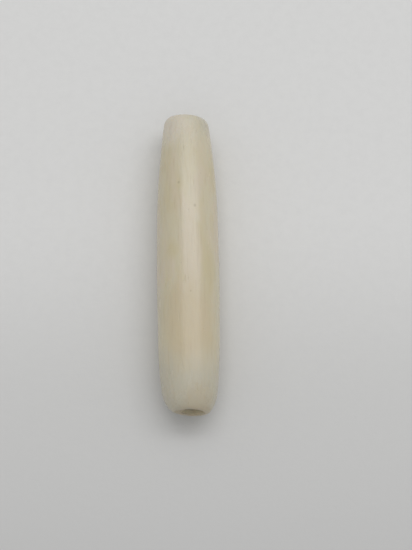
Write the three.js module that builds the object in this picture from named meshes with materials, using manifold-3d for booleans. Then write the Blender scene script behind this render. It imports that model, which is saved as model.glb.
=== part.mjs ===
// Bone hairpipe bead: one barrel-shaped tube of polished bone, drilled end to end for a cord.
// Millimetres, +Z up. The bead lies on its side along Y, blunt end at -Y and slim end at +Y.
// The origin is on the surface that it lies on, below the middle of its length and width.
import * as THREE from "three";
import { mergeVertices } from "three/addons/utils/BufferGeometryUtils.js";
import Module from "manifold-3d";

// Driving dimensions.
const LENGTH = 38.1; // overall, over the longer side of each slanted end
const BELLY_WIDTH = 7.86;
const HEIGHT_TO_WIDTH = 0.97; // ground a little oval
const FLAT_HALF_WIDTH = 1.2; // ground flat underneath, which is what keeps the bead from rolling
const BELLY_Y = -2.25; // middle of the widest stretch
const BELLY_LENGTH = 9; // straight stretch that the bead lies on
const BORE_RADIUS = 1.35;
const LIP_RADIUS = 0.12; // broken edge where the bore meets each end face

// Each end: its side along Y, the barrel's radius there, how late the barrel curves in, the rounding of the
// rim along and across the bead, how far the bore has wandered sideways, and how far off square
// the end is cut, as the tangent of its slant.
const BLUNT_END = {
  side: -1,
  radius: 3.1,
  fullness: 2.75,
  rimLength: 2.7,
  rimDepth: 1.2,
  boreX: 0.35,
  slant: 0.08,
};
const SLIM_END = {
  side: 1,
  radius: 2.72,
  fullness: 2.15,
  rimLength: 1.1,
  rimDepth: 0.85,
  boreX: -0.1,
  slant: 0.05,
};
const SLANT_REACH = 6; // the slant fades out over this length from each end

// How finely the round shapes are cut into facets.
const FACETS_AROUND = 48;
const FACETS_AROUND_BORE = 28;
const RIM_STEPS = 6;
const BARREL_STEPS = 8;
const BARREL_CROWDING = 0.8; // under 1 crowds the barrel's steps towards the rim
const LIP_STEPS = 3;
const WELD = 1e-4; // corners closer than this are one
const OVERRUN = 1; // how far the cut of the bore runs past each end

const BONE = { color: 0xd9cfb4, roughness: 0.42, metalness: 0 };

const wasm = await Module();
wasm.setup();

// Where the middle of an end's face lies along the bead.
function faceY(end) {
  const faceRadius = end.radius - end.rimDepth;
  return end.side * (LENGTH / 2 - end.slant * faceRadius);
}

// Where the straight belly stops on an end's side.
function bellyEdge(end) {
  return BELLY_Y + (end.side * BELLY_LENGTH) / 2;
}

// Radius of the barrel, without its rounded rims, at y on the side of the given end.
function barrelRadius(end, y) {
  const belly = BELLY_WIDTH / 2;
  const share = THREE.MathUtils.clamp((y - bellyEdge(end)) / (faceY(end) - bellyEdge(end)), 0, 1);
  return belly - (belly - end.radius) * share ** end.fullness;
}

// Outline of one half, as (radius, y) points from the belly's edge to the rim of the flat end face.
function halfOutline(end) {
  const rimStart = faceY(end) - end.side * end.rimLength;
  const points = [];
  for (let i = 0; i < BARREL_STEPS; i++) {
    const y = THREE.MathUtils.lerp(bellyEdge(end), rimStart, (i / BARREL_STEPS) ** BARREL_CROWDING);
    points.push(new THREE.Vector2(barrelRadius(end, y), y));
  }
  for (let i = 0; i <= RIM_STEPS; i++) {
    const turn = (i / RIM_STEPS) * (Math.PI / 2);
    const y = faceY(end) - end.side * end.rimLength * (1 - Math.sin(turn));
    points.push(new THREE.Vector2(barrelRadius(end, y) - end.rimDepth * (1 - Math.cos(turn)), y));
  }
  return points;
}

// Closed geometry as a manifold-3d solid.
function solidOf(geometry) {
  geometry.deleteAttribute("normal");
  geometry.deleteAttribute("uv");
  const merged = mergeVertices(geometry, WELD);
  return new wasm.Manifold(
    new wasm.Mesh({
      numProp: 3,
      vertProperties: merged.attributes.position.array,
      triVerts: new Uint32Array(merged.index.array),
    }),
  );
}

// A shape lathed about the Y axis, with a facet, not an edge, facing up and down.
function lathed(outline, facets) {
  return new THREE.LatheGeometry(outline, facets, Math.PI / facets);
}

// Shears what lies near an end along the bead, so that the end's face comes out off square.
function cutOffSquare(geometry) {
  const position = geometry.attributes.position;
  for (let i = 0; i < position.count; i++) {
    const y = position.getY(i);
    const end = y > 0 ? SLIM_END : BLUNT_END;
    const share = THREE.MathUtils.clamp(1 - (Math.abs(faceY(end)) - Math.abs(y)) / SLANT_REACH, 0, 1);
    position.setY(i, y - end.slant * share * position.getX(i));
  }
  return geometry;
}

// The bead before drilling: an oval barrel on the Y axis, with its ends cut and its underside flat.
function barrelSolid() {
  const outline = [
    new THREE.Vector2(0, faceY(BLUNT_END)),
    ...halfOutline(BLUNT_END).reverse(),
    ...halfOutline(SLIM_END),
    new THREE.Vector2(0, faceY(SLIM_END)),
  ];
  const barrel = lathed(outline, FACETS_AROUND).scale(1, 1, HEIGHT_TO_WIDTH);
  const flatZ = -HEIGHT_TO_WIDTH * Math.sqrt((BELLY_WIDTH / 2) ** 2 - FLAT_HALF_WIDTH ** 2);
  const ground = new THREE.BoxGeometry(BELLY_WIDTH, LENGTH, BELLY_WIDTH);
  ground.translate(0, 0, flatZ - BELLY_WIDTH / 2);
  return solidOf(cutOffSquare(barrel)).subtract(solidOf(ground));
}

// One mouth of the bore, as (radius, y) points from inside the bead to outside it. The edge where
// it meets the face is rounded.
function mouthOutline(end) {
  const points = [];
  for (let i = 0; i <= LIP_STEPS; i++) {
    const turn = (i / LIP_STEPS) * (Math.PI / 2);
    const radius = BORE_RADIUS + LIP_RADIUS * (1 - Math.cos(turn));
    points.push(new THREE.Vector2(radius, faceY(end) - end.side * LIP_RADIUS * (1 - Math.sin(turn))));
  }
  points.push(new THREE.Vector2(BORE_RADIUS + LIP_RADIUS, faceY(end) + end.side * OVERRUN));
  points.push(new THREE.Vector2(0, faceY(end) + end.side * OVERRUN));
  return points;
}

// What the drill takes away, slewed to where it comes out.
function boreSolid() {
  const outline = [...mouthOutline(BLUNT_END).reverse(), ...mouthOutline(SLIM_END)];
  const slew = Math.atan((BLUNT_END.boreX - SLIM_END.boreX) / LENGTH);
  const middleX = (BLUNT_END.boreX + SLIM_END.boreX) / 2;
  const drill = lathed(outline, FACETS_AROUND_BORE).rotateZ(slew).translate(middleX, 0, 0);
  return solidOf(cutOffSquare(drill));
}

// A manifold-3d solid as three.js geometry.
function geometryOf(solid) {
  const mesh = solid.getMesh();
  const geometry = new THREE.BufferGeometry();
  geometry.setAttribute("position", new THREE.BufferAttribute(mesh.vertProperties, 3));
  geometry.setIndex(new THREE.BufferAttribute(mesh.triVerts, 1));
  geometry.computeVertexNormals();
  return geometry;
}

function beadBody() {
  const body = new THREE.Mesh(
    geometryOf(barrelSolid().subtract(boreSolid())),
    new THREE.MeshStandardMaterial(BONE),
  );
  body.name = "bead_body";
  body.geometry.computeBoundingBox();
  const { min, max } = body.geometry.boundingBox;
  body.position.set(0, -(min.y + max.y) / 2, -min.z); // rest it on z = 0
  return body;
}

const bead = new THREE.Group();
bead.add(beadBody());

export default bead;
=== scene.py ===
import math

import bpy
import numpy as np
from mathutils import Matrix, Vector, noise

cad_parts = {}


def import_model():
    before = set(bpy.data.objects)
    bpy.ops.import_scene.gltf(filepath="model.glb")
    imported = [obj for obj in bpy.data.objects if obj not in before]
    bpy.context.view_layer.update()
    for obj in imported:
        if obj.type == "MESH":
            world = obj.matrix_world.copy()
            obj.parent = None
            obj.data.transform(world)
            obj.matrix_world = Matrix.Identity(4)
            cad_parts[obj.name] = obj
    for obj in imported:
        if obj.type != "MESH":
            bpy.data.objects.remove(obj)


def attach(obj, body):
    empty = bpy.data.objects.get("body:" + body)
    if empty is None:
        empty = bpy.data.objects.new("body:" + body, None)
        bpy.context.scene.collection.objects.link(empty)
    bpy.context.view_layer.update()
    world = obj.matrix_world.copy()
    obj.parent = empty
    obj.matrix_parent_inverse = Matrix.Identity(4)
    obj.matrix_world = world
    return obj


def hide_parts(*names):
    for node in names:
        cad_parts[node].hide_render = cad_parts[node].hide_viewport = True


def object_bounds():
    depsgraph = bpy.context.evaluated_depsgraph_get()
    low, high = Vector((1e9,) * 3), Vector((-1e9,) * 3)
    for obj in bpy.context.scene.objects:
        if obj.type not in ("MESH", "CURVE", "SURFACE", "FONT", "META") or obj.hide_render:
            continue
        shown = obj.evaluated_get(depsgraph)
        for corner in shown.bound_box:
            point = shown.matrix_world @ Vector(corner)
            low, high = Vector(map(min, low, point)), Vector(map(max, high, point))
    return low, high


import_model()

# A bone hairpipe bead on a sheet of pale paper. It lies along Y on z = 0, blunt end at -Y.
# Lengths are in metres, written as millimetres times MM, unless a comment says otherwise.
MM = 0.001
CAD_LOW, CAD_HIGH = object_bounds()
SKIN = 0.004 * MM  # how far the highest spots of the surface stay inside the CAD box

# The bead: an oval barrel about an axis along Y, ground flat underneath and drilled end to end.
HALF_LENGTH = CAD_HIGH.y - SKIN
HALF_WIDTH = (CAD_HIGH.x - CAD_LOW.x) / 2 - SKIN
HEIGHT_TO_WIDTH = 0.97
AXIS_Z = CAD_HIGH.z - SKIN - HEIGHT_TO_WIDTH * HALF_WIDTH
FLAT_Z = CAD_LOW.z + SKIN
FLAT_EDGE_WEAR = 0.05 * MM
BELLY_Y = -2.25 * MM
BELLY_LENGTH = 9 * MM
CROWN = dict(depth=0.06 * MM, reach=8 * MM)  # how the belly itself falls away from its middle
BORE_RADIUS = 1.35 * MM
LIP_RADIUS = 0.14 * MM  # the broken edge where the bore meets an end face

# Its ends. The rim is the rounding between barrel and end face. The slant is how far off square
# the face is cut, as a tangent, and it fades out over SLANT_REACH.
BLUNT_END = dict(
    side=-1,
    radius=3.1 * MM,
    fullness=2.75,
    rim_length=2.7 * MM,
    rim_depth=1.2 * MM,
    bore_x=0.35 * MM,
    slant=0.08,
)
SLIM_END = dict(
    side=1,
    radius=2.72 * MM,
    fullness=2.15,
    rim_length=1.1 * MM,
    rim_depth=0.85 * MM,
    bore_x=-0.1 * MM,
    slant=0.05,
)
SLANT_REACH = 6 * MM

# How finely it is meshed.
AROUND = 192
BARREL_RINGS = 290
RIM_RINGS = 22
FACE_RINGS = 8
LIP_RINGS = 5
BORE_RINGS = 66
BARREL, FACE, BORE = range(3)  # the kinds of surface, in the order of the bead's materials

# The relief that hand work and wear leave: how deep, the size of its noise along x, y and z, and a
# shift that gives each its own noise. The higher its rarity, the fewer the spots where it shows.
GROUND = dict(depth=0.055 * MM, size=(4 * MM, 13 * MM, 4 * MM), shift=0)
RIPPLE = dict(depth=0.022 * MM, size=(1.3 * MM, 3 * MM, 1.3 * MM), shift=11)
GRAIN = dict(depth=0.006 * MM, size=(0.36 * MM, 3.5 * MM, 0.36 * MM), shift=23)
DENT = dict(depth=0.035 * MM, size=(1.1 * MM, 1.6 * MM, 1.1 * MM), shift=37, rarity=0.42)
# Chips and cord wear reach that far from the edges of the bore's mouths. The wear is centred that
# many degrees round from the top towards +X.
CHIP = dict(depth=0.16 * MM, size=(0.5 * MM,) * 3, shift=41, rarity=0.1, reach=0.22 * MM)
CORD_WEAR = dict(depth=0.2 * MM, reach=0.65 * MM, lean=30)
# The drill's spiral ridges, wandering along the bead by that share of their pitch.
DRILL_MARK = dict(
    depth=0.014 * MM,
    pitch=0.45 * MM,
    wander=0.35,
    size=(4 * MM, 13 * MM, 4 * MM),
    shift=5,
)

# Bone colours, as linear base colours.
CREAM = (0.650, 0.592, 0.440)
AMBER = (0.625, 0.550, 0.365)
HONEY = (0.620, 0.530, 0.365)
ROSE = (0.665, 0.585, 0.455)
CHALK = (0.650, 0.612, 0.495)
# A pale colour for a painted reflection, not the bone's own.
PAINTED_REFLECTION_PALE = (0.720, 0.660, 0.555)
DULL = (0.552, 0.520, 0.420)
UMBER = (0.500, 0.410, 0.270)
# Dark grime; also the colour of the painted shade round the bore.
GRIME_AND_SHADE = (0.230, 0.165, 0.095)

# Noise lies mostly between 0.3 and 0.7. A look uses one of these stretches of it.
ALL_OVER = (0.3, 0.7)
PATCHY = (0.35, 0.7)
SPARSE = (0.5, 0.75)

# Clouds and streaks of colour in the bone: their noise, the stretch of it over which the colour
# rises to its full share, and the colour.
AMBER_CLOUDS = dict(
    noise=dict(size=(3 * MM, 9 * MM, 3 * MM)),
    stretch=(0.42, 0.68),
    share=1.0,
    colour=AMBER,
)
ROSE_CLOUDS = dict(
    noise=dict(size=(2.2 * MM, 6 * MM, 2.2 * MM), centre=(0, 50 * MM, 0)),
    stretch=(0.48, 0.7),
    share=0.8,
    colour=ROSE,
)
STREAKS = dict(
    noise=dict(size=(0.28 * MM, 4.5 * MM, 0.28 * MM), detail=4, coarse=0.6),
    stretch=SPARSE,
    share=0.28,
    colour=UMBER,
)

# The weathered ends: how many millimetres before an end the colour starts, and where it is full.
# At the blunt end the darker colour is partly weathering and partly painted shade, where the light
# falls off in front of the bead.
SLIM_WEATHER = dict(end=SLIM_END, start=5.5, full=0.3, colour=CHALK)
BLUNT_WEATHER_AND_SHADE = dict(end=BLUNT_END, start=9.5, full=3.0, colour=DULL)
WEATHER_AND_SHADE_STRENGTH = 0.88
WEATHER_WANDER = 5.0  # how many millimetres its cloudy edge wanders
# The polish is duller towards the ends, over the same kind of stretch.
DULLING = dict(start=5.5, full=0.3, roughness=0.1)

# Handling browns the bone round both mouths, and grime with painted shade darkens the end faces
# near the bore. Its one blot is long enough along the bead to take in both faces.
HANDLED = dict(size=(2.9 * MM, 1.3 * MM, 2.9 * MM), raggedness=0.5, strength=0.6)
BORE_GRIME_AND_SHADE = dict(size=(1.8 * MM, 1000 * MM, 1.8 * MM), raggedness=0.3, strength=0.5)

# Pores and flecks: a share of cells of that size holds one, with its radius as a part of the cell.
PORES = dict(size=(0.4 * MM, 2.8 * MM, 0.4 * MM), radius=0.22, share=0.3)
FLECKS = dict(size=(0.8 * MM, 0.9 * MM, 0.8 * MM), radius=0.13, share=0.35)
PIT_STRENGTH = 0.12
PORE_ROUGHNESS = 0.2

# Stains in the bone, with one patch of painted shade and one of painted reflection among them: how
# far they lie round from the top towards +X in degrees, where along the half length, their half
# width and half length, colour and strength.
STAINS_AND_PAINTED_LIGHT = [
    dict(lean=43, along=-0.08, size=(1.3 * MM, 3.4 * MM), colour=AMBER, strength=0.9),
    dict(lean=-24, along=-0.34, size=(1.1 * MM, 4.0 * MM), colour=UMBER, strength=0.16),
    dict(lean=9, along=-0.02, size=(1.7 * MM, 6.0 * MM), colour=ROSE, strength=0.8),
    dict(lean=-78, along=0.1, size=(1.6 * MM, 7.0 * MM), colour=ROSE, strength=0.6),
    dict(lean=5, along=-0.44, size=(4.2 * MM, 6.5 * MM), colour=HONEY, strength=0.85),
    # Painted shade: darkens the right of the blunt end, as if that end lay evenly in shade.
    dict(lean=22, along=-0.97, size=(2.8 * MM, 3.2 * MM), colour=UMBER, strength=0.35),
    # Painted reflection: a pale patch on the slim end's rounding, standing in for the surroundings
    # mirrored there.
    dict(lean=-38, along=0.93, size=(2.4 * MM, 3.4 * MM), colour=PAINTED_REFLECTION_PALE, strength=0.8),
    dict(lean=48, along=0.96, size=(1.2 * MM, 2.6 * MM), colour=DULL, strength=0.5),
    dict(lean=150, along=0.3, size=(1.9 * MM, 6.0 * MM), colour=AMBER, strength=0.9),
]
PATCH_RAGGEDNESS = 0.7
# Specks on the bone, placed the same way, with their radius.
SPECKS = [
    dict(lean=15, along=0.34, radius=0.2 * MM),
    dict(lean=-16, along=0.5, radius=0.18 * MM),
    dict(lean=5, along=-0.235, radius=0.13 * MM),
    dict(lean=-100, along=-0.5, radius=0.2 * MM),
    dict(lean=128, along=0.12, radius=0.16 * MM),
]
SPECK_RAGGEDNESS = 0.3
SPECK_STRETCH = 1.3  # how much longer than wide they are
SPECK_STRENGTH = 0.25

# The paper: a flat disc of that radius with its edge curled up, and its linear base colours. Over
# each of its painted shades, from start to full in millimetres along the bead, it gets darker, but
# only near the bead: painted shade for the light falling off in front of the bead. The painted
# shades fade out between the two distances of PAPER_FADE, in millimetres.
PAPER_RADIUS, PAPER_CURL = 1000 * MM, 250 * MM
PAPER_SIDES, CURL_STEPS = 128, 16
PAPER = (0.805, 0.805, 0.8)
PAPER_FIBRE = (0.66, 0.66, 0.66)
PAPER_PAINTED_SHADE = [
    dict(start=9.0, full=-20.0, colour=(0.685, 0.685, 0.68)),
    dict(start=-15.0, full=-60.0, colour=(0.56, 0.56, 0.56)),
]
PAPER_FADE = (60.0, 200.0)

# Light: the strength of the surroundings at the horizon and high up, what it is multiplied by at -X
# and +X, and two softboxes over the bead. Their edges are given as a lean in degrees, seen from the
# bead: left and right towards +X, front and back towards +Y.
SKY_COLOUR = (1, 1, 0.995, 1)
SKY_STRENGTH = (0.44, 0.54)
SKY_TOP = 0.45  # the sine of the elevation from which on it stays the same
SKY_SIDES = (0.93, 1.06)
SOFTBOX_HEIGHT = 600 * MM
SOFTBOX_LEFT, SOFTBOX_RIGHT = -20, 42
SOFTBOXES = [
    dict(name="softbox_core", front=16.5, back=28.5, radiance=2.15),
    dict(name="softbox_edge", front=3, back=38, radiance=0.84),
]

# The camera: what it aims at, its distance, its elevation and roll in degrees, and its lens.
CAMERA_AIM = (2.216 * MM, -1.51 * MM, AXIS_Z)
CAMERA_DISTANCE = 271 * MM
CAMERA_ELEVATION, CAMERA_ROLL = 74.8, 0.82
SENSOR_WIDTH, FOCAL_LENGTH = 36, 143.2  # in millimetres


def face_y(end):
    """Where the middle of an end's face lies along the bead."""
    return end["side"] * (HALF_LENGTH - end["slant"] * (end["radius"] - end["rim_depth"]))


def barrel_radius(end, y):
    """Radius of the barrel, without its rounded rim, at y on that end's side."""
    edge = BELLY_Y + end["side"] * BELLY_LENGTH / 2
    share = min(max((y - edge) / (face_y(end) - edge), 0), 1)
    away = min(abs(y - BELLY_Y) / CROWN["reach"], 1)
    crown = CROWN["depth"] * away**2 * (3 - 2 * away)
    taper = (HALF_WIDTH - end["radius"] - CROWN["depth"]) * share ** end["fullness"]
    return HALF_WIDTH - crown - taper


def half_outline(end):
    """(radius, y) of the rings from the middle of the belly out over the rim to the end face."""
    rim_start = face_y(end) - end["side"] * end["rim_length"]
    steps = round(BARREL_RINGS * abs(rim_start - BELLY_Y) / (2 * HALF_LENGTH))
    rings = []
    for i in range(steps):
        y = BELLY_Y + (rim_start - BELLY_Y) * i / steps
        rings.append((barrel_radius(end, y), y))
    for i in range(RIM_RINGS + 1):
        turn = i / RIM_RINGS * math.pi / 2
        y = rim_start + end["side"] * end["rim_length"] * math.sin(turn)
        rings.append((barrel_radius(end, y) - end["rim_depth"] * (1 - math.cos(turn)), y))
    return rings


def bore_x(y):
    """The drilled bore runs a little askew: x of its middle at y."""
    share = (y / HALF_LENGTH + 1) / 2
    return BLUNT_END["bore_x"] + (SLIM_END["bore_x"] - BLUNT_END["bore_x"]) * share


def face_rings(end):
    """Rings over the end face, in from its rim to the bore's mouth and over the broken edge."""
    y = face_y(end)
    outer = end["radius"] - end["rim_depth"]
    inner = BORE_RADIUS + LIP_RADIUS
    rings = []
    for i in range(1, FACE_RINGS + 1):
        share = i / FACE_RINGS
        oval = HEIGHT_TO_WIDTH + (1 - HEIGHT_TO_WIDTH) * share
        rings.append((outer + (inner - outer) * share, y, bore_x(y) * share, oval, FACE))
    for i in range(1, LIP_RINGS + 1):
        turn = i / LIP_RINGS * math.pi / 2
        inside = y - end["side"] * LIP_RADIUS * (1 - math.cos(turn))
        rings.append((inner - LIP_RADIUS * math.sin(turn), inside, bore_x(inside), 1, FACE))
    return rings


def bead_rings():
    """Every ring as (radius, y, middle x, height to width, kind). They run over the barrel from the
    blunt end to the slim end, then back through the bore."""
    blunt, slim = half_outline(BLUNT_END), half_outline(SLIM_END)
    outline = [*reversed(blunt[1:]), *slim]
    rings = [(radius, y, 0, HEIGHT_TO_WIDTH, BARREL) for radius, y in outline]
    rings += face_rings(SLIM_END)
    start = face_y(SLIM_END) - LIP_RADIUS
    stop = face_y(BLUNT_END) + LIP_RADIUS
    for i in range(1, BORE_RINGS):
        y = start + (stop - start) * i / BORE_RINGS
        rings.append((BORE_RADIUS, y, bore_x(y), 1, BORE))
    rings += reversed(face_rings(BLUNT_END))
    return rings


def kinds_of(rings):
    """The kind of surface that each ring lies on."""
    return np.array([kind for *_, kind in rings])


def corner_turns():
    """How far each corner of a ring lies round from the bottom towards +X, in radians."""
    return np.arange(AROUND) * 2 * math.pi / AROUND


def ring_points(radius, y, middle_x, oval, kind):
    """The corners of one ring, slanted near the ends and flattened underneath."""
    turn = corner_turns()
    end = SLIM_END if y > 0 else BLUNT_END
    share = min(max(1 - (abs(face_y(end)) - abs(y)) / SLANT_REACH, 0), 1)
    x = middle_x + radius * np.sin(turn)
    z = AXIS_Z - oval * radius * np.cos(turn)
    if kind == BARREL:
        above = z - FLAT_Z
        z = FLAT_Z + (above + np.sqrt(above**2 + FLAT_EDGE_WEAR**2)) / 2
    return np.stack([x, y - end["slant"] * share * x, z], axis=1)


def outward(points):
    """Unit normals of the closed grid of rings, pointing out of the bone."""
    along = np.roll(points, -1, axis=0) - np.roll(points, 1, axis=0)
    around = np.roll(points, -1, axis=1) - np.roll(points, 1, axis=1)
    normals = np.cross(along, around)
    return normals / np.linalg.norm(normals, axis=2, keepdims=True)


def waves(points, feature):
    """The feature's smooth noise, from about -1 to 1."""
    scaled = points.reshape(-1, 3) / np.array(feature["size"]) + feature["shift"]
    heights = [noise.noise(Vector(point)) for point in scaled.tolist()]
    return np.array(heights).reshape(points.shape[:2])


def rare(points, feature):
    """0 over most of the surface, rising towards 1 in scattered spots."""
    rise = waves(points, feature) - feature["rarity"]
    return np.clip(rise, 0, None) / (1 - feature["rarity"])


def mouth_closeness(rings, reach):
    """1 at the edge of the bore's mouths, falling to 0 over about that reach, for each ring."""
    closeness = []
    for radius, y, *_ in rings:
        end = SLIM_END if y > 0 else BLUNT_END
        distance = math.hypot(radius - BORE_RADIUS, y - face_y(end))
        closeness.append(math.exp(-((distance / reach) ** 2)))
    return np.array(closeness)[:, None]


def drill_marks(points):
    """The bore's spiral ridges, from 0 to 1."""
    wander = DRILL_MARK["wander"] * 2 * math.pi * waves(points, DRILL_MARK)
    along = points[:, :, 1] / DRILL_MARK["pitch"] * 2 * math.pi
    return 0.5 + 0.5 * np.sin(along + corner_turns() + wander)


def relief(points, rings):
    """How far each corner sinks below the ideal surface."""
    sunk = np.zeros(points.shape[:2])
    for feature in (GROUND, RIPPLE, GRAIN):
        sunk += feature["depth"] * (0.5 + 0.5 * waves(points, feature))
    sunk += DENT["depth"] * rare(points, DENT)
    in_bore = kinds_of(rings)[:, None] == BORE
    sunk += np.where(in_bore, DRILL_MARK["depth"] * drill_marks(points), 0)
    sunk += CHIP["depth"] * rare(points, CHIP) * mouth_closeness(rings, CHIP["reach"])
    turn = corner_turns() + math.radians(CORD_WEAR["lean"])
    worn_side = (0.5 - 0.5 * np.cos(turn)) ** 2
    sunk += CORD_WEAR["depth"] * worn_side * mouth_closeness(rings, CORD_WEAR["reach"])
    return np.clip(sunk, 0, None)


def bead_mesh():
    """The closed grid of rings, sunk by its relief, with a material for each kind of surface."""
    rings = bead_rings()
    points = np.array([ring_points(*ring) for ring in rings])
    points -= outward(points) * relief(points, rings)[:, :, None]
    index = np.arange(len(rings) * AROUND).reshape(len(rings), AROUND)
    ahead = np.roll(index, -1, axis=0)
    corners = (index, ahead, np.roll(ahead, -1, axis=1), np.roll(index, -1, axis=1))
    quads = np.stack(corners, axis=-1)
    mesh = bpy.data.meshes.new("bead")
    mesh.from_pydata(points.reshape(-1, 3).tolist(), [], quads.reshape(-1, 4).tolist())
    mesh.shade_smooth()
    for make in (polished_bone, sawn_bone, drilled_bone):
        mesh.materials.append(make())
    kinds = kinds_of(rings)
    between = np.maximum(kinds, np.roll(kinds, -1))
    mesh.polygons.foreach_set("material_index", np.repeat(between, AROUND))
    mesh.validate()
    return mesh


def bead():
    piece = bpy.data.objects.new("bead", bead_mesh())
    bpy.context.scene.collection.objects.link(piece)
    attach(piece, "root")
    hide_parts("bead_body")
    return piece


# Short calls for the nodes that the looks are made of. A value fed to a socket may be a number, a
# colour or another node's socket.


def feed(tree, socket, value):
    if isinstance(value, bpy.types.NodeSocket):
        tree.links.new(value, socket)
    else:
        socket.default_value = value


def spot(tree, size, centre=(0, 0, 0)):
    """The place on the object, measured from centre in units of size."""
    coordinates = tree.nodes.new("ShaderNodeTexCoord")
    mapping = tree.nodes.new("ShaderNodeMapping")
    mapping.vector_type = "TEXTURE"
    mapping.inputs["Location"].default_value = centre
    mapping.inputs["Scale"].default_value = size
    tree.links.new(coordinates.outputs["Object"], mapping.inputs["Vector"])
    return mapping.outputs["Vector"]


def clouds(tree, size, detail=3, coarse=0.55, centre=(0, 0, 0)):
    """Noise with features of that size, mostly between 0.3 and 0.7."""
    texture = tree.nodes.new("ShaderNodeTexNoise")
    texture.inputs["Scale"].default_value = 1
    texture.inputs["Detail"].default_value = detail
    texture.inputs["Roughness"].default_value = coarse
    tree.links.new(spot(tree, size, centre), texture.inputs["Vector"])
    return texture.outputs["Fac"]


def remap(tree, value, start, stop, low=0.0, high=1.0):
    """Value start becomes low and stop becomes high, with a smooth step between."""
    node = tree.nodes.new("ShaderNodeMapRange")
    node.interpolation_type = "SMOOTHSTEP"
    feed(tree, node.inputs["Value"], value)
    feed(tree, node.inputs["From Min"], start)
    feed(tree, node.inputs["From Max"], stop)
    feed(tree, node.inputs["To Min"], low)
    feed(tree, node.inputs["To Max"], high)
    return node.outputs["Result"]


def calculate(tree, operation, first, second):
    node = tree.nodes.new("ShaderNodeMath")
    node.operation = operation
    feed(tree, node.inputs[0], first)
    feed(tree, node.inputs[1], second)
    return node.outputs[0]


def tint(tree, share, under, over):
    """The colour under, with that share of the colour over."""
    node = tree.nodes.new("ShaderNodeMix")
    node.data_type = "RGBA"
    feed(tree, node.inputs[0], share)
    for socket, colour in ((node.inputs[6], under), (node.inputs[7], over)):
        feed(tree, socket, (*colour, 1) if isinstance(colour, tuple) else colour)
    return node.outputs[2]


def overlay(tree, where, strength, under, over):
    """The colour under, with the colour over laid on it at that strength times where."""
    return tint(tree, calculate(tree, "MULTIPLY", where, strength), under, over)


def clouded(tree, under, pattern):
    """The colour under, with the pattern's clouds of colour over it."""
    value = clouds(tree, **pattern["noise"])
    share = remap(tree, value, *pattern["stretch"], high=pattern["share"])
    return tint(tree, share, under, pattern["colour"])


def raised(tree, height, rise, under=None):
    """A bump of that rise, on top of the bump under it."""
    node = tree.nodes.new("ShaderNodeBump")
    node.inputs["Distance"].default_value = rise
    tree.links.new(height, node.inputs["Height"])
    if under:
        tree.links.new(under, node.inputs["Normal"])
    return node.outputs["Normal"]


def pits(tree, kind):
    """Dots of that kind: 1 over the inner 0.4 of their radius, fading to 0 at their edge."""
    texture = tree.nodes.new("ShaderNodeTexVoronoi")
    texture.inputs["Scale"].default_value = 1
    tree.links.new(spot(tree, kind["size"]), texture.inputs["Vector"])
    chance = tree.nodes.new("ShaderNodeSeparateColor")
    tree.links.new(texture.outputs["Color"], chance.inputs[0])
    radius = kind["radius"]
    dots = remap(tree, texture.outputs["Distance"], radius * 0.4, radius, 1.0, 0.0)
    chosen = calculate(tree, "LESS_THAN", chance.outputs[0], kind["share"])
    return calculate(tree, "MULTIPLY", dots, chosen)


def away_from(tree, centre, size):
    """The distance from centre, in units of size."""
    length = tree.nodes.new("ShaderNodeVectorMath")
    length.operation = "LENGTH"
    tree.links.new(spot(tree, size, centre), length.inputs[0])
    return length.outputs["Value"]


def blot(tree, centre, size, raggedness):
    """1 around centre, fading to 0 at a ragged edge, from about 0.4 to 1.1 of its size."""
    bumps = clouds(tree, [side * 0.6 for side in size])
    ragged = calculate(tree, "MULTIPLY", bumps, raggedness)
    distance = calculate(tree, "ADD", away_from(tree, centre, size), ragged)
    middle = raggedness / 2
    return remap(tree, distance, middle + 0.4, middle + 1.1, 1.0, 0.0)


def on_barrel(lean, along):
    """The place on the barrel at lean degrees round from the top towards +X."""
    y = along * HALF_LENGTH
    radius = barrel_radius(SLIM_END if y > BELLY_Y else BLUNT_END, y)
    turn = math.radians(lean)
    return (radius * math.sin(turn), y, AXIS_Z + HEIGHT_TO_WIDTH * radius * math.cos(turn))


def along_bead(tree):
    """Where along the bead, in millimetres."""
    parts = tree.nodes.new("ShaderNodeSeparateXYZ")
    tree.links.new(spot(tree, (MM, MM, MM)), parts.inputs[0])
    return parts.outputs["Y"]


def end_closeness(tree, end, start, full):
    """0 until that many millimetres before an end, rising to 1 with a cloudy edge."""
    reach = calculate(tree, "MULTIPLY", along_bead(tree), end["side"])
    cloud = clouds(tree, (2 * MM, 3 * MM, 2 * MM))
    wander = calculate(tree, "MULTIPLY", cloud, WEATHER_WANDER)
    half = HALF_LENGTH / MM + WEATHER_WANDER / 2
    return remap(tree, calculate(tree, "ADD", reach, wander), half - start, half - full)


def new_look(name):
    material = bpy.data.materials.new(name)
    material.use_nodes = True
    tree = material.node_tree
    return material, tree, tree.nodes["Principled BSDF"]


def bone_shader(shader):
    """What every bone surface has all over: a little light passes under the surface."""
    shader.inputs["IOR"].default_value = 1.54
    shader.inputs["Subsurface Weight"].default_value = 0.2
    shader.inputs["Subsurface Radius"].default_value = (1.0, 0.75, 0.45)
    shader.inputs["Subsurface Scale"].default_value = MM


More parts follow.
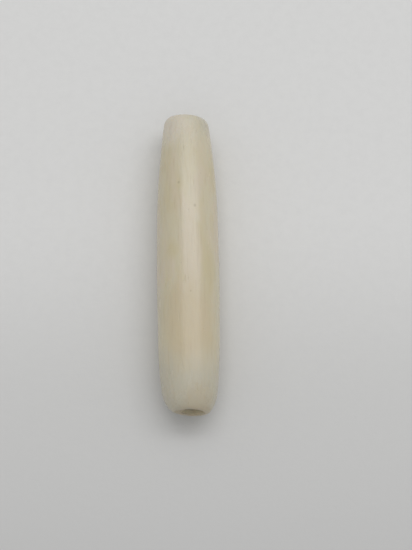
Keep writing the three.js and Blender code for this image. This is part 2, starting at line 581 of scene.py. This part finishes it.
def bone_colour(tree):
    """Cloudy cream, weathered towards the ends, with painted shade on the blunt end, stained, with
    a painted shade and a painted reflection among the stains, browned round the mouths and
    streaked.
    """
    colour = clouded(tree, CREAM, AMBER_CLOUDS)
    colour = clouded(tree, colour, ROSE_CLOUDS)
    # The slim end is weathered chalky; the blunt end is darker, partly weathering and partly
    # painted shade.
    for weathering_and_shade in (SLIM_WEATHER, BLUNT_WEATHER_AND_SHADE):
        where = end_closeness(tree, weathering_and_shade["end"], weathering_and_shade["start"], weathering_and_shade["full"])
        colour = overlay(tree, where, WEATHER_AND_SHADE_STRENGTH, colour, weathering_and_shade["colour"])
    for patch in STAINS_AND_PAINTED_LIGHT:
        across, along = patch["size"]
        middle = on_barrel(patch["lean"], patch["along"])
        where = blot(tree, middle, (across, along, across), PATCH_RAGGEDNESS)
        colour = overlay(tree, where, patch["strength"], colour, patch["colour"])
    for end in (SLIM_END, BLUNT_END):
        mouth = (bore_x(face_y(end)), face_y(end), AXIS_Z)
        where = blot(tree, mouth, HANDLED["size"], HANDLED["raggedness"])
        colour = overlay(tree, where, HANDLED["strength"], colour, UMBER)
    return clouded(tree, colour, STREAKS)


def polished_bone():
    """The barrel and its rims: smooth, with pores, flecks and specks, duller towards the ends."""
    material, tree, shader = new_look("polished_bone")
    bone_shader(shader)
    colour = bone_colour(tree)
    pores = pits(tree, PORES)
    colour = overlay(tree, pores, PIT_STRENGTH, colour, GRIME_AND_SHADE)
    colour = overlay(tree, pits(tree, FLECKS), PIT_STRENGTH, colour, GRIME_AND_SHADE)
    for speck in SPECKS:
        radius = speck["radius"]
        middle = on_barrel(speck["lean"], speck["along"])
        where = blot(tree, middle, (radius, radius * SPECK_STRETCH, radius), SPECK_RAGGEDNESS)
        colour = overlay(tree, where, SPECK_STRENGTH, colour, GRIME_AND_SHADE)
    feed(tree, shader.inputs["Base Color"], colour)

    wear = clouds(tree, (1.2 * MM, 4 * MM, 1.2 * MM), detail=5, coarse=0.65)
    roughness = remap(tree, wear, *PATCHY, low=0.17, high=0.28)
    for end in (SLIM_END, BLUNT_END):
        where = end_closeness(tree, end, DULLING["start"], DULLING["full"])
        worn = calculate(tree, "MULTIPLY", where, DULLING["roughness"])
        roughness = calculate(tree, "ADD", roughness, worn)
    rough_pores = calculate(tree, "MULTIPLY", pores, PORE_ROUGHNESS)
    feed(tree, shader.inputs["Roughness"], calculate(tree, "ADD", roughness, rough_pores))

    grain = clouds(tree, (0.16 * MM, 2.4 * MM, 0.16 * MM), detail=4, coarse=0.6)
    polish = clouds(tree, (0.5 * MM, 0.7 * MM, 0.5 * MM), detail=4, coarse=0.6)
    surface = raised(tree, grain, 0.012 * MM)
    surface = raised(tree, polish, 0.02 * MM, under=surface)
    surface = raised(tree, calculate(tree, "SUBTRACT", 1.0, pores), 0.02 * MM, under=surface)
    feed(tree, shader.inputs["Normal"], surface)
    return material


def near_bore(tree):
    """1 at the bore's edge, fading to 0 a little way out over the end faces."""
    return blot(tree, (bore_x(0), 0, AXIS_Z), BORE_GRIME_AND_SHADE["size"], BORE_GRIME_AND_SHADE["raggedness"])


def sawn_bone():
    """The end faces and the mouths' broken edges: duller and darker brown, partly the cut bone's
    own dirt and partly painted shade, with the saw's fine parallel marks and grime and painted
    shade towards the bore."""
    material, tree, shader = new_look("sawn_bone")
    bone_shader(shader)
    marks = clouds(tree, (4 * MM, 2 * MM, 0.09 * MM), detail=3, coarse=0.6)
    mottle = clouds(tree, (0.5 * MM, 0.5 * MM, 0.5 * MM), detail=4, coarse=0.6)
    # Darker brown all over: partly the cut bone's dirt, partly painted shade of an end face in
    # shade.
    colour = tint(tree, remap(tree, mottle, *PATCHY, low=0.35, high=0.85), DULL, UMBER)
    colour = tint(tree, remap(tree, marks, *SPARSE, low=0.05, high=0.4), colour, GRIME_AND_SHADE)
    # Grime and painted shade: darker towards the bore's mouth, where it lies in shade.
    colour = overlay(tree, near_bore(tree), BORE_GRIME_AND_SHADE["strength"], colour, GRIME_AND_SHADE)
    feed(tree, shader.inputs["Base Color"], colour)
    feed(tree, shader.inputs["Roughness"], remap(tree, mottle, *ALL_OVER, low=0.42, high=0.6))
    surface = raised(tree, marks, 0.02 * MM)
    feed(tree, shader.inputs["Normal"], raised(tree, mottle, 0.02 * MM, under=surface))
    return material


def drilled_bone():
    """Inside the bore: browner and dull, with grime caught in the drill's rings."""
    material, tree, shader = new_look("drilled_bone")
    bone_shader(shader)
    rings = clouds(tree, (3 * MM, 0.16 * MM, 3 * MM), detail=3, coarse=0.6)
    dirt = clouds(tree, (0.6 * MM, 1.5 * MM, 0.6 * MM), detail=4, coarse=0.6)
    colour = tint(tree, remap(tree, dirt, *PATCHY, high=0.45), CREAM, UMBER)
    colour = tint(tree, remap(tree, rings, *SPARSE, high=0.2), colour, GRIME_AND_SHADE)
    feed(tree, shader.inputs["Base Color"], colour)
    feed(tree, shader.inputs["Roughness"], remap(tree, dirt, *ALL_OVER, low=0.55, high=0.8))
    feed(tree, shader.inputs["Normal"], raised(tree, rings, 0.03 * MM))
    return material


def paper():
    """The sheet that the bead lies on. It curls up far away all round, so that no horizon shows."""
    profile = [(PAPER_RADIUS * 0.9, 0), (PAPER_RADIUS, 0)]
    for i in range(1, CURL_STEPS + 1):
        turn = i / CURL_STEPS * math.pi / 2
        radius = PAPER_RADIUS + PAPER_CURL * math.sin(turn)
        profile.append((radius, PAPER_CURL * (1 - math.cos(turn))))
    corners = []
    for radius, z in profile:
        for i in range(PAPER_SIDES):
            turn = i * 2 * math.pi / PAPER_SIDES
            corners.append((radius * math.cos(turn), radius * math.sin(turn), z))
    faces = [tuple(range(PAPER_SIDES))]
    for ring in range(len(profile) - 1):
        for i in range(PAPER_SIDES):
            inner = ring * PAPER_SIDES + i
            onward = ring * PAPER_SIDES + (i + 1) % PAPER_SIDES
            faces.append((inner, inner + PAPER_SIDES, onward + PAPER_SIDES, onward))
    mesh = bpy.data.meshes.new("paper")
    mesh.from_pydata(corners, [], faces)
    mesh.shade_smooth()
    mesh.materials.append(paper_look())
    sheet = bpy.data.objects.new("paper", mesh)
    bpy.context.scene.collection.objects.link(sheet)


def paper_look():
    """Pale matt paper with faint fibres, with painted shade making it a little darker in front of
    the bead.
    """
    material, tree, shader = new_look("paper")
    distance = away_from(tree, (0, 0, 0), (MM, MM, MM))
    nearby = remap(tree, distance, *PAPER_FADE, low=1.0, high=0.0)
    colour = PAPER
    # Painted shade: the paper gets darker towards the front of the bead, where the light falls off.
    for shade in PAPER_PAINTED_SHADE:
        along = remap(tree, along_bead(tree), shade["start"], shade["full"])
        colour = overlay(tree, along, nearby, colour, shade["colour"])
    fibres = clouds(tree, (1.2 * MM, 1.2 * MM, 1.2 * MM), detail=5, coarse=0.65)
    colour = tint(tree, remap(tree, fibres, 0.35, 0.75, high=0.12), colour, PAPER_FIBRE)
    feed(tree, shader.inputs["Base Color"], colour)
    feed(tree, shader.inputs["Roughness"], remap(tree, fibres, *ALL_OVER, low=0.8, high=0.95))
    feed(tree, shader.inputs["Normal"], raised(tree, fibres, 0.03 * MM))
    return material


def world():
    """Pale surroundings, a little darker down at the horizon and a little brighter on the right."""
    surroundings = bpy.data.worlds.new("surroundings")
    surroundings.use_nodes = True
    tree = surroundings.node_tree
    direction = tree.nodes.new("ShaderNodeTexCoord")
    parts = tree.nodes.new("ShaderNodeSeparateXYZ")
    tree.links.new(direction.outputs["Generated"], parts.inputs[0])
    background = tree.nodes["Background"]
    background.inputs["Color"].default_value = SKY_COLOUR
    height = remap(tree, parts.outputs["Z"], 0.0, SKY_TOP, *SKY_STRENGTH)
    side = remap(tree, parts.outputs["X"], -1.0, 1.0, *SKY_SIDES)
    feed(tree, background.inputs["Strength"], calculate(tree, "MULTIPLY", height, side))
    bpy.context.scene.world = surroundings


def softbox(name, front, back, radiance):
    """A soft light overhead, which reaches from its front edge to its back edge."""
    leans = (SOFTBOX_LEFT, SOFTBOX_RIGHT, front, back)
    left, right, near, far = [SOFTBOX_HEIGHT * math.tan(math.radians(lean)) for lean in leans]
    light = bpy.data.lights.new(name, "AREA")
    light.shape = "RECTANGLE"
    light.size, light.size_y = right - left, far - near
    light.energy = math.pi * radiance * light.size * light.size_y
    lamp = bpy.data.objects.new(name, light)
    bpy.context.scene.collection.objects.link(lamp)
    lamp.location = ((left + right) / 2, (near + far) / 2, SOFTBOX_HEIGHT)
    lamp.visible_camera = False


def camera():
    """The camera, which looks down on the bead from the blunt end's side."""
    data = bpy.data.cameras.new("camera")
    data.sensor_width = SENSOR_WIDTH
    data.lens = FOCAL_LENGTH
    data.clip_start = 10 * MM
    view = bpy.data.objects.new("camera", data)
    bpy.context.scene.collection.objects.link(view)
    elevation = math.radians(CAMERA_ELEVATION)
    back = Vector((0, -math.cos(elevation), math.sin(elevation)))
    place = Matrix.Translation(Vector(CAMERA_AIM) + back * CAMERA_DISTANCE)
    turn = (-back).to_track_quat("-Z", "Y").to_matrix().to_4x4()
    roll = Matrix.Rotation(-math.radians(CAMERA_ROLL), 4, "Z")
    view.matrix_world = place @ turn @ roll
    bpy.context.scene.camera = view
    bpy.context.scene.view_settings.view_transform = "Standard"


bead()
paper()
world()
for box in SOFTBOXES:
    softbox(**box)
camera()
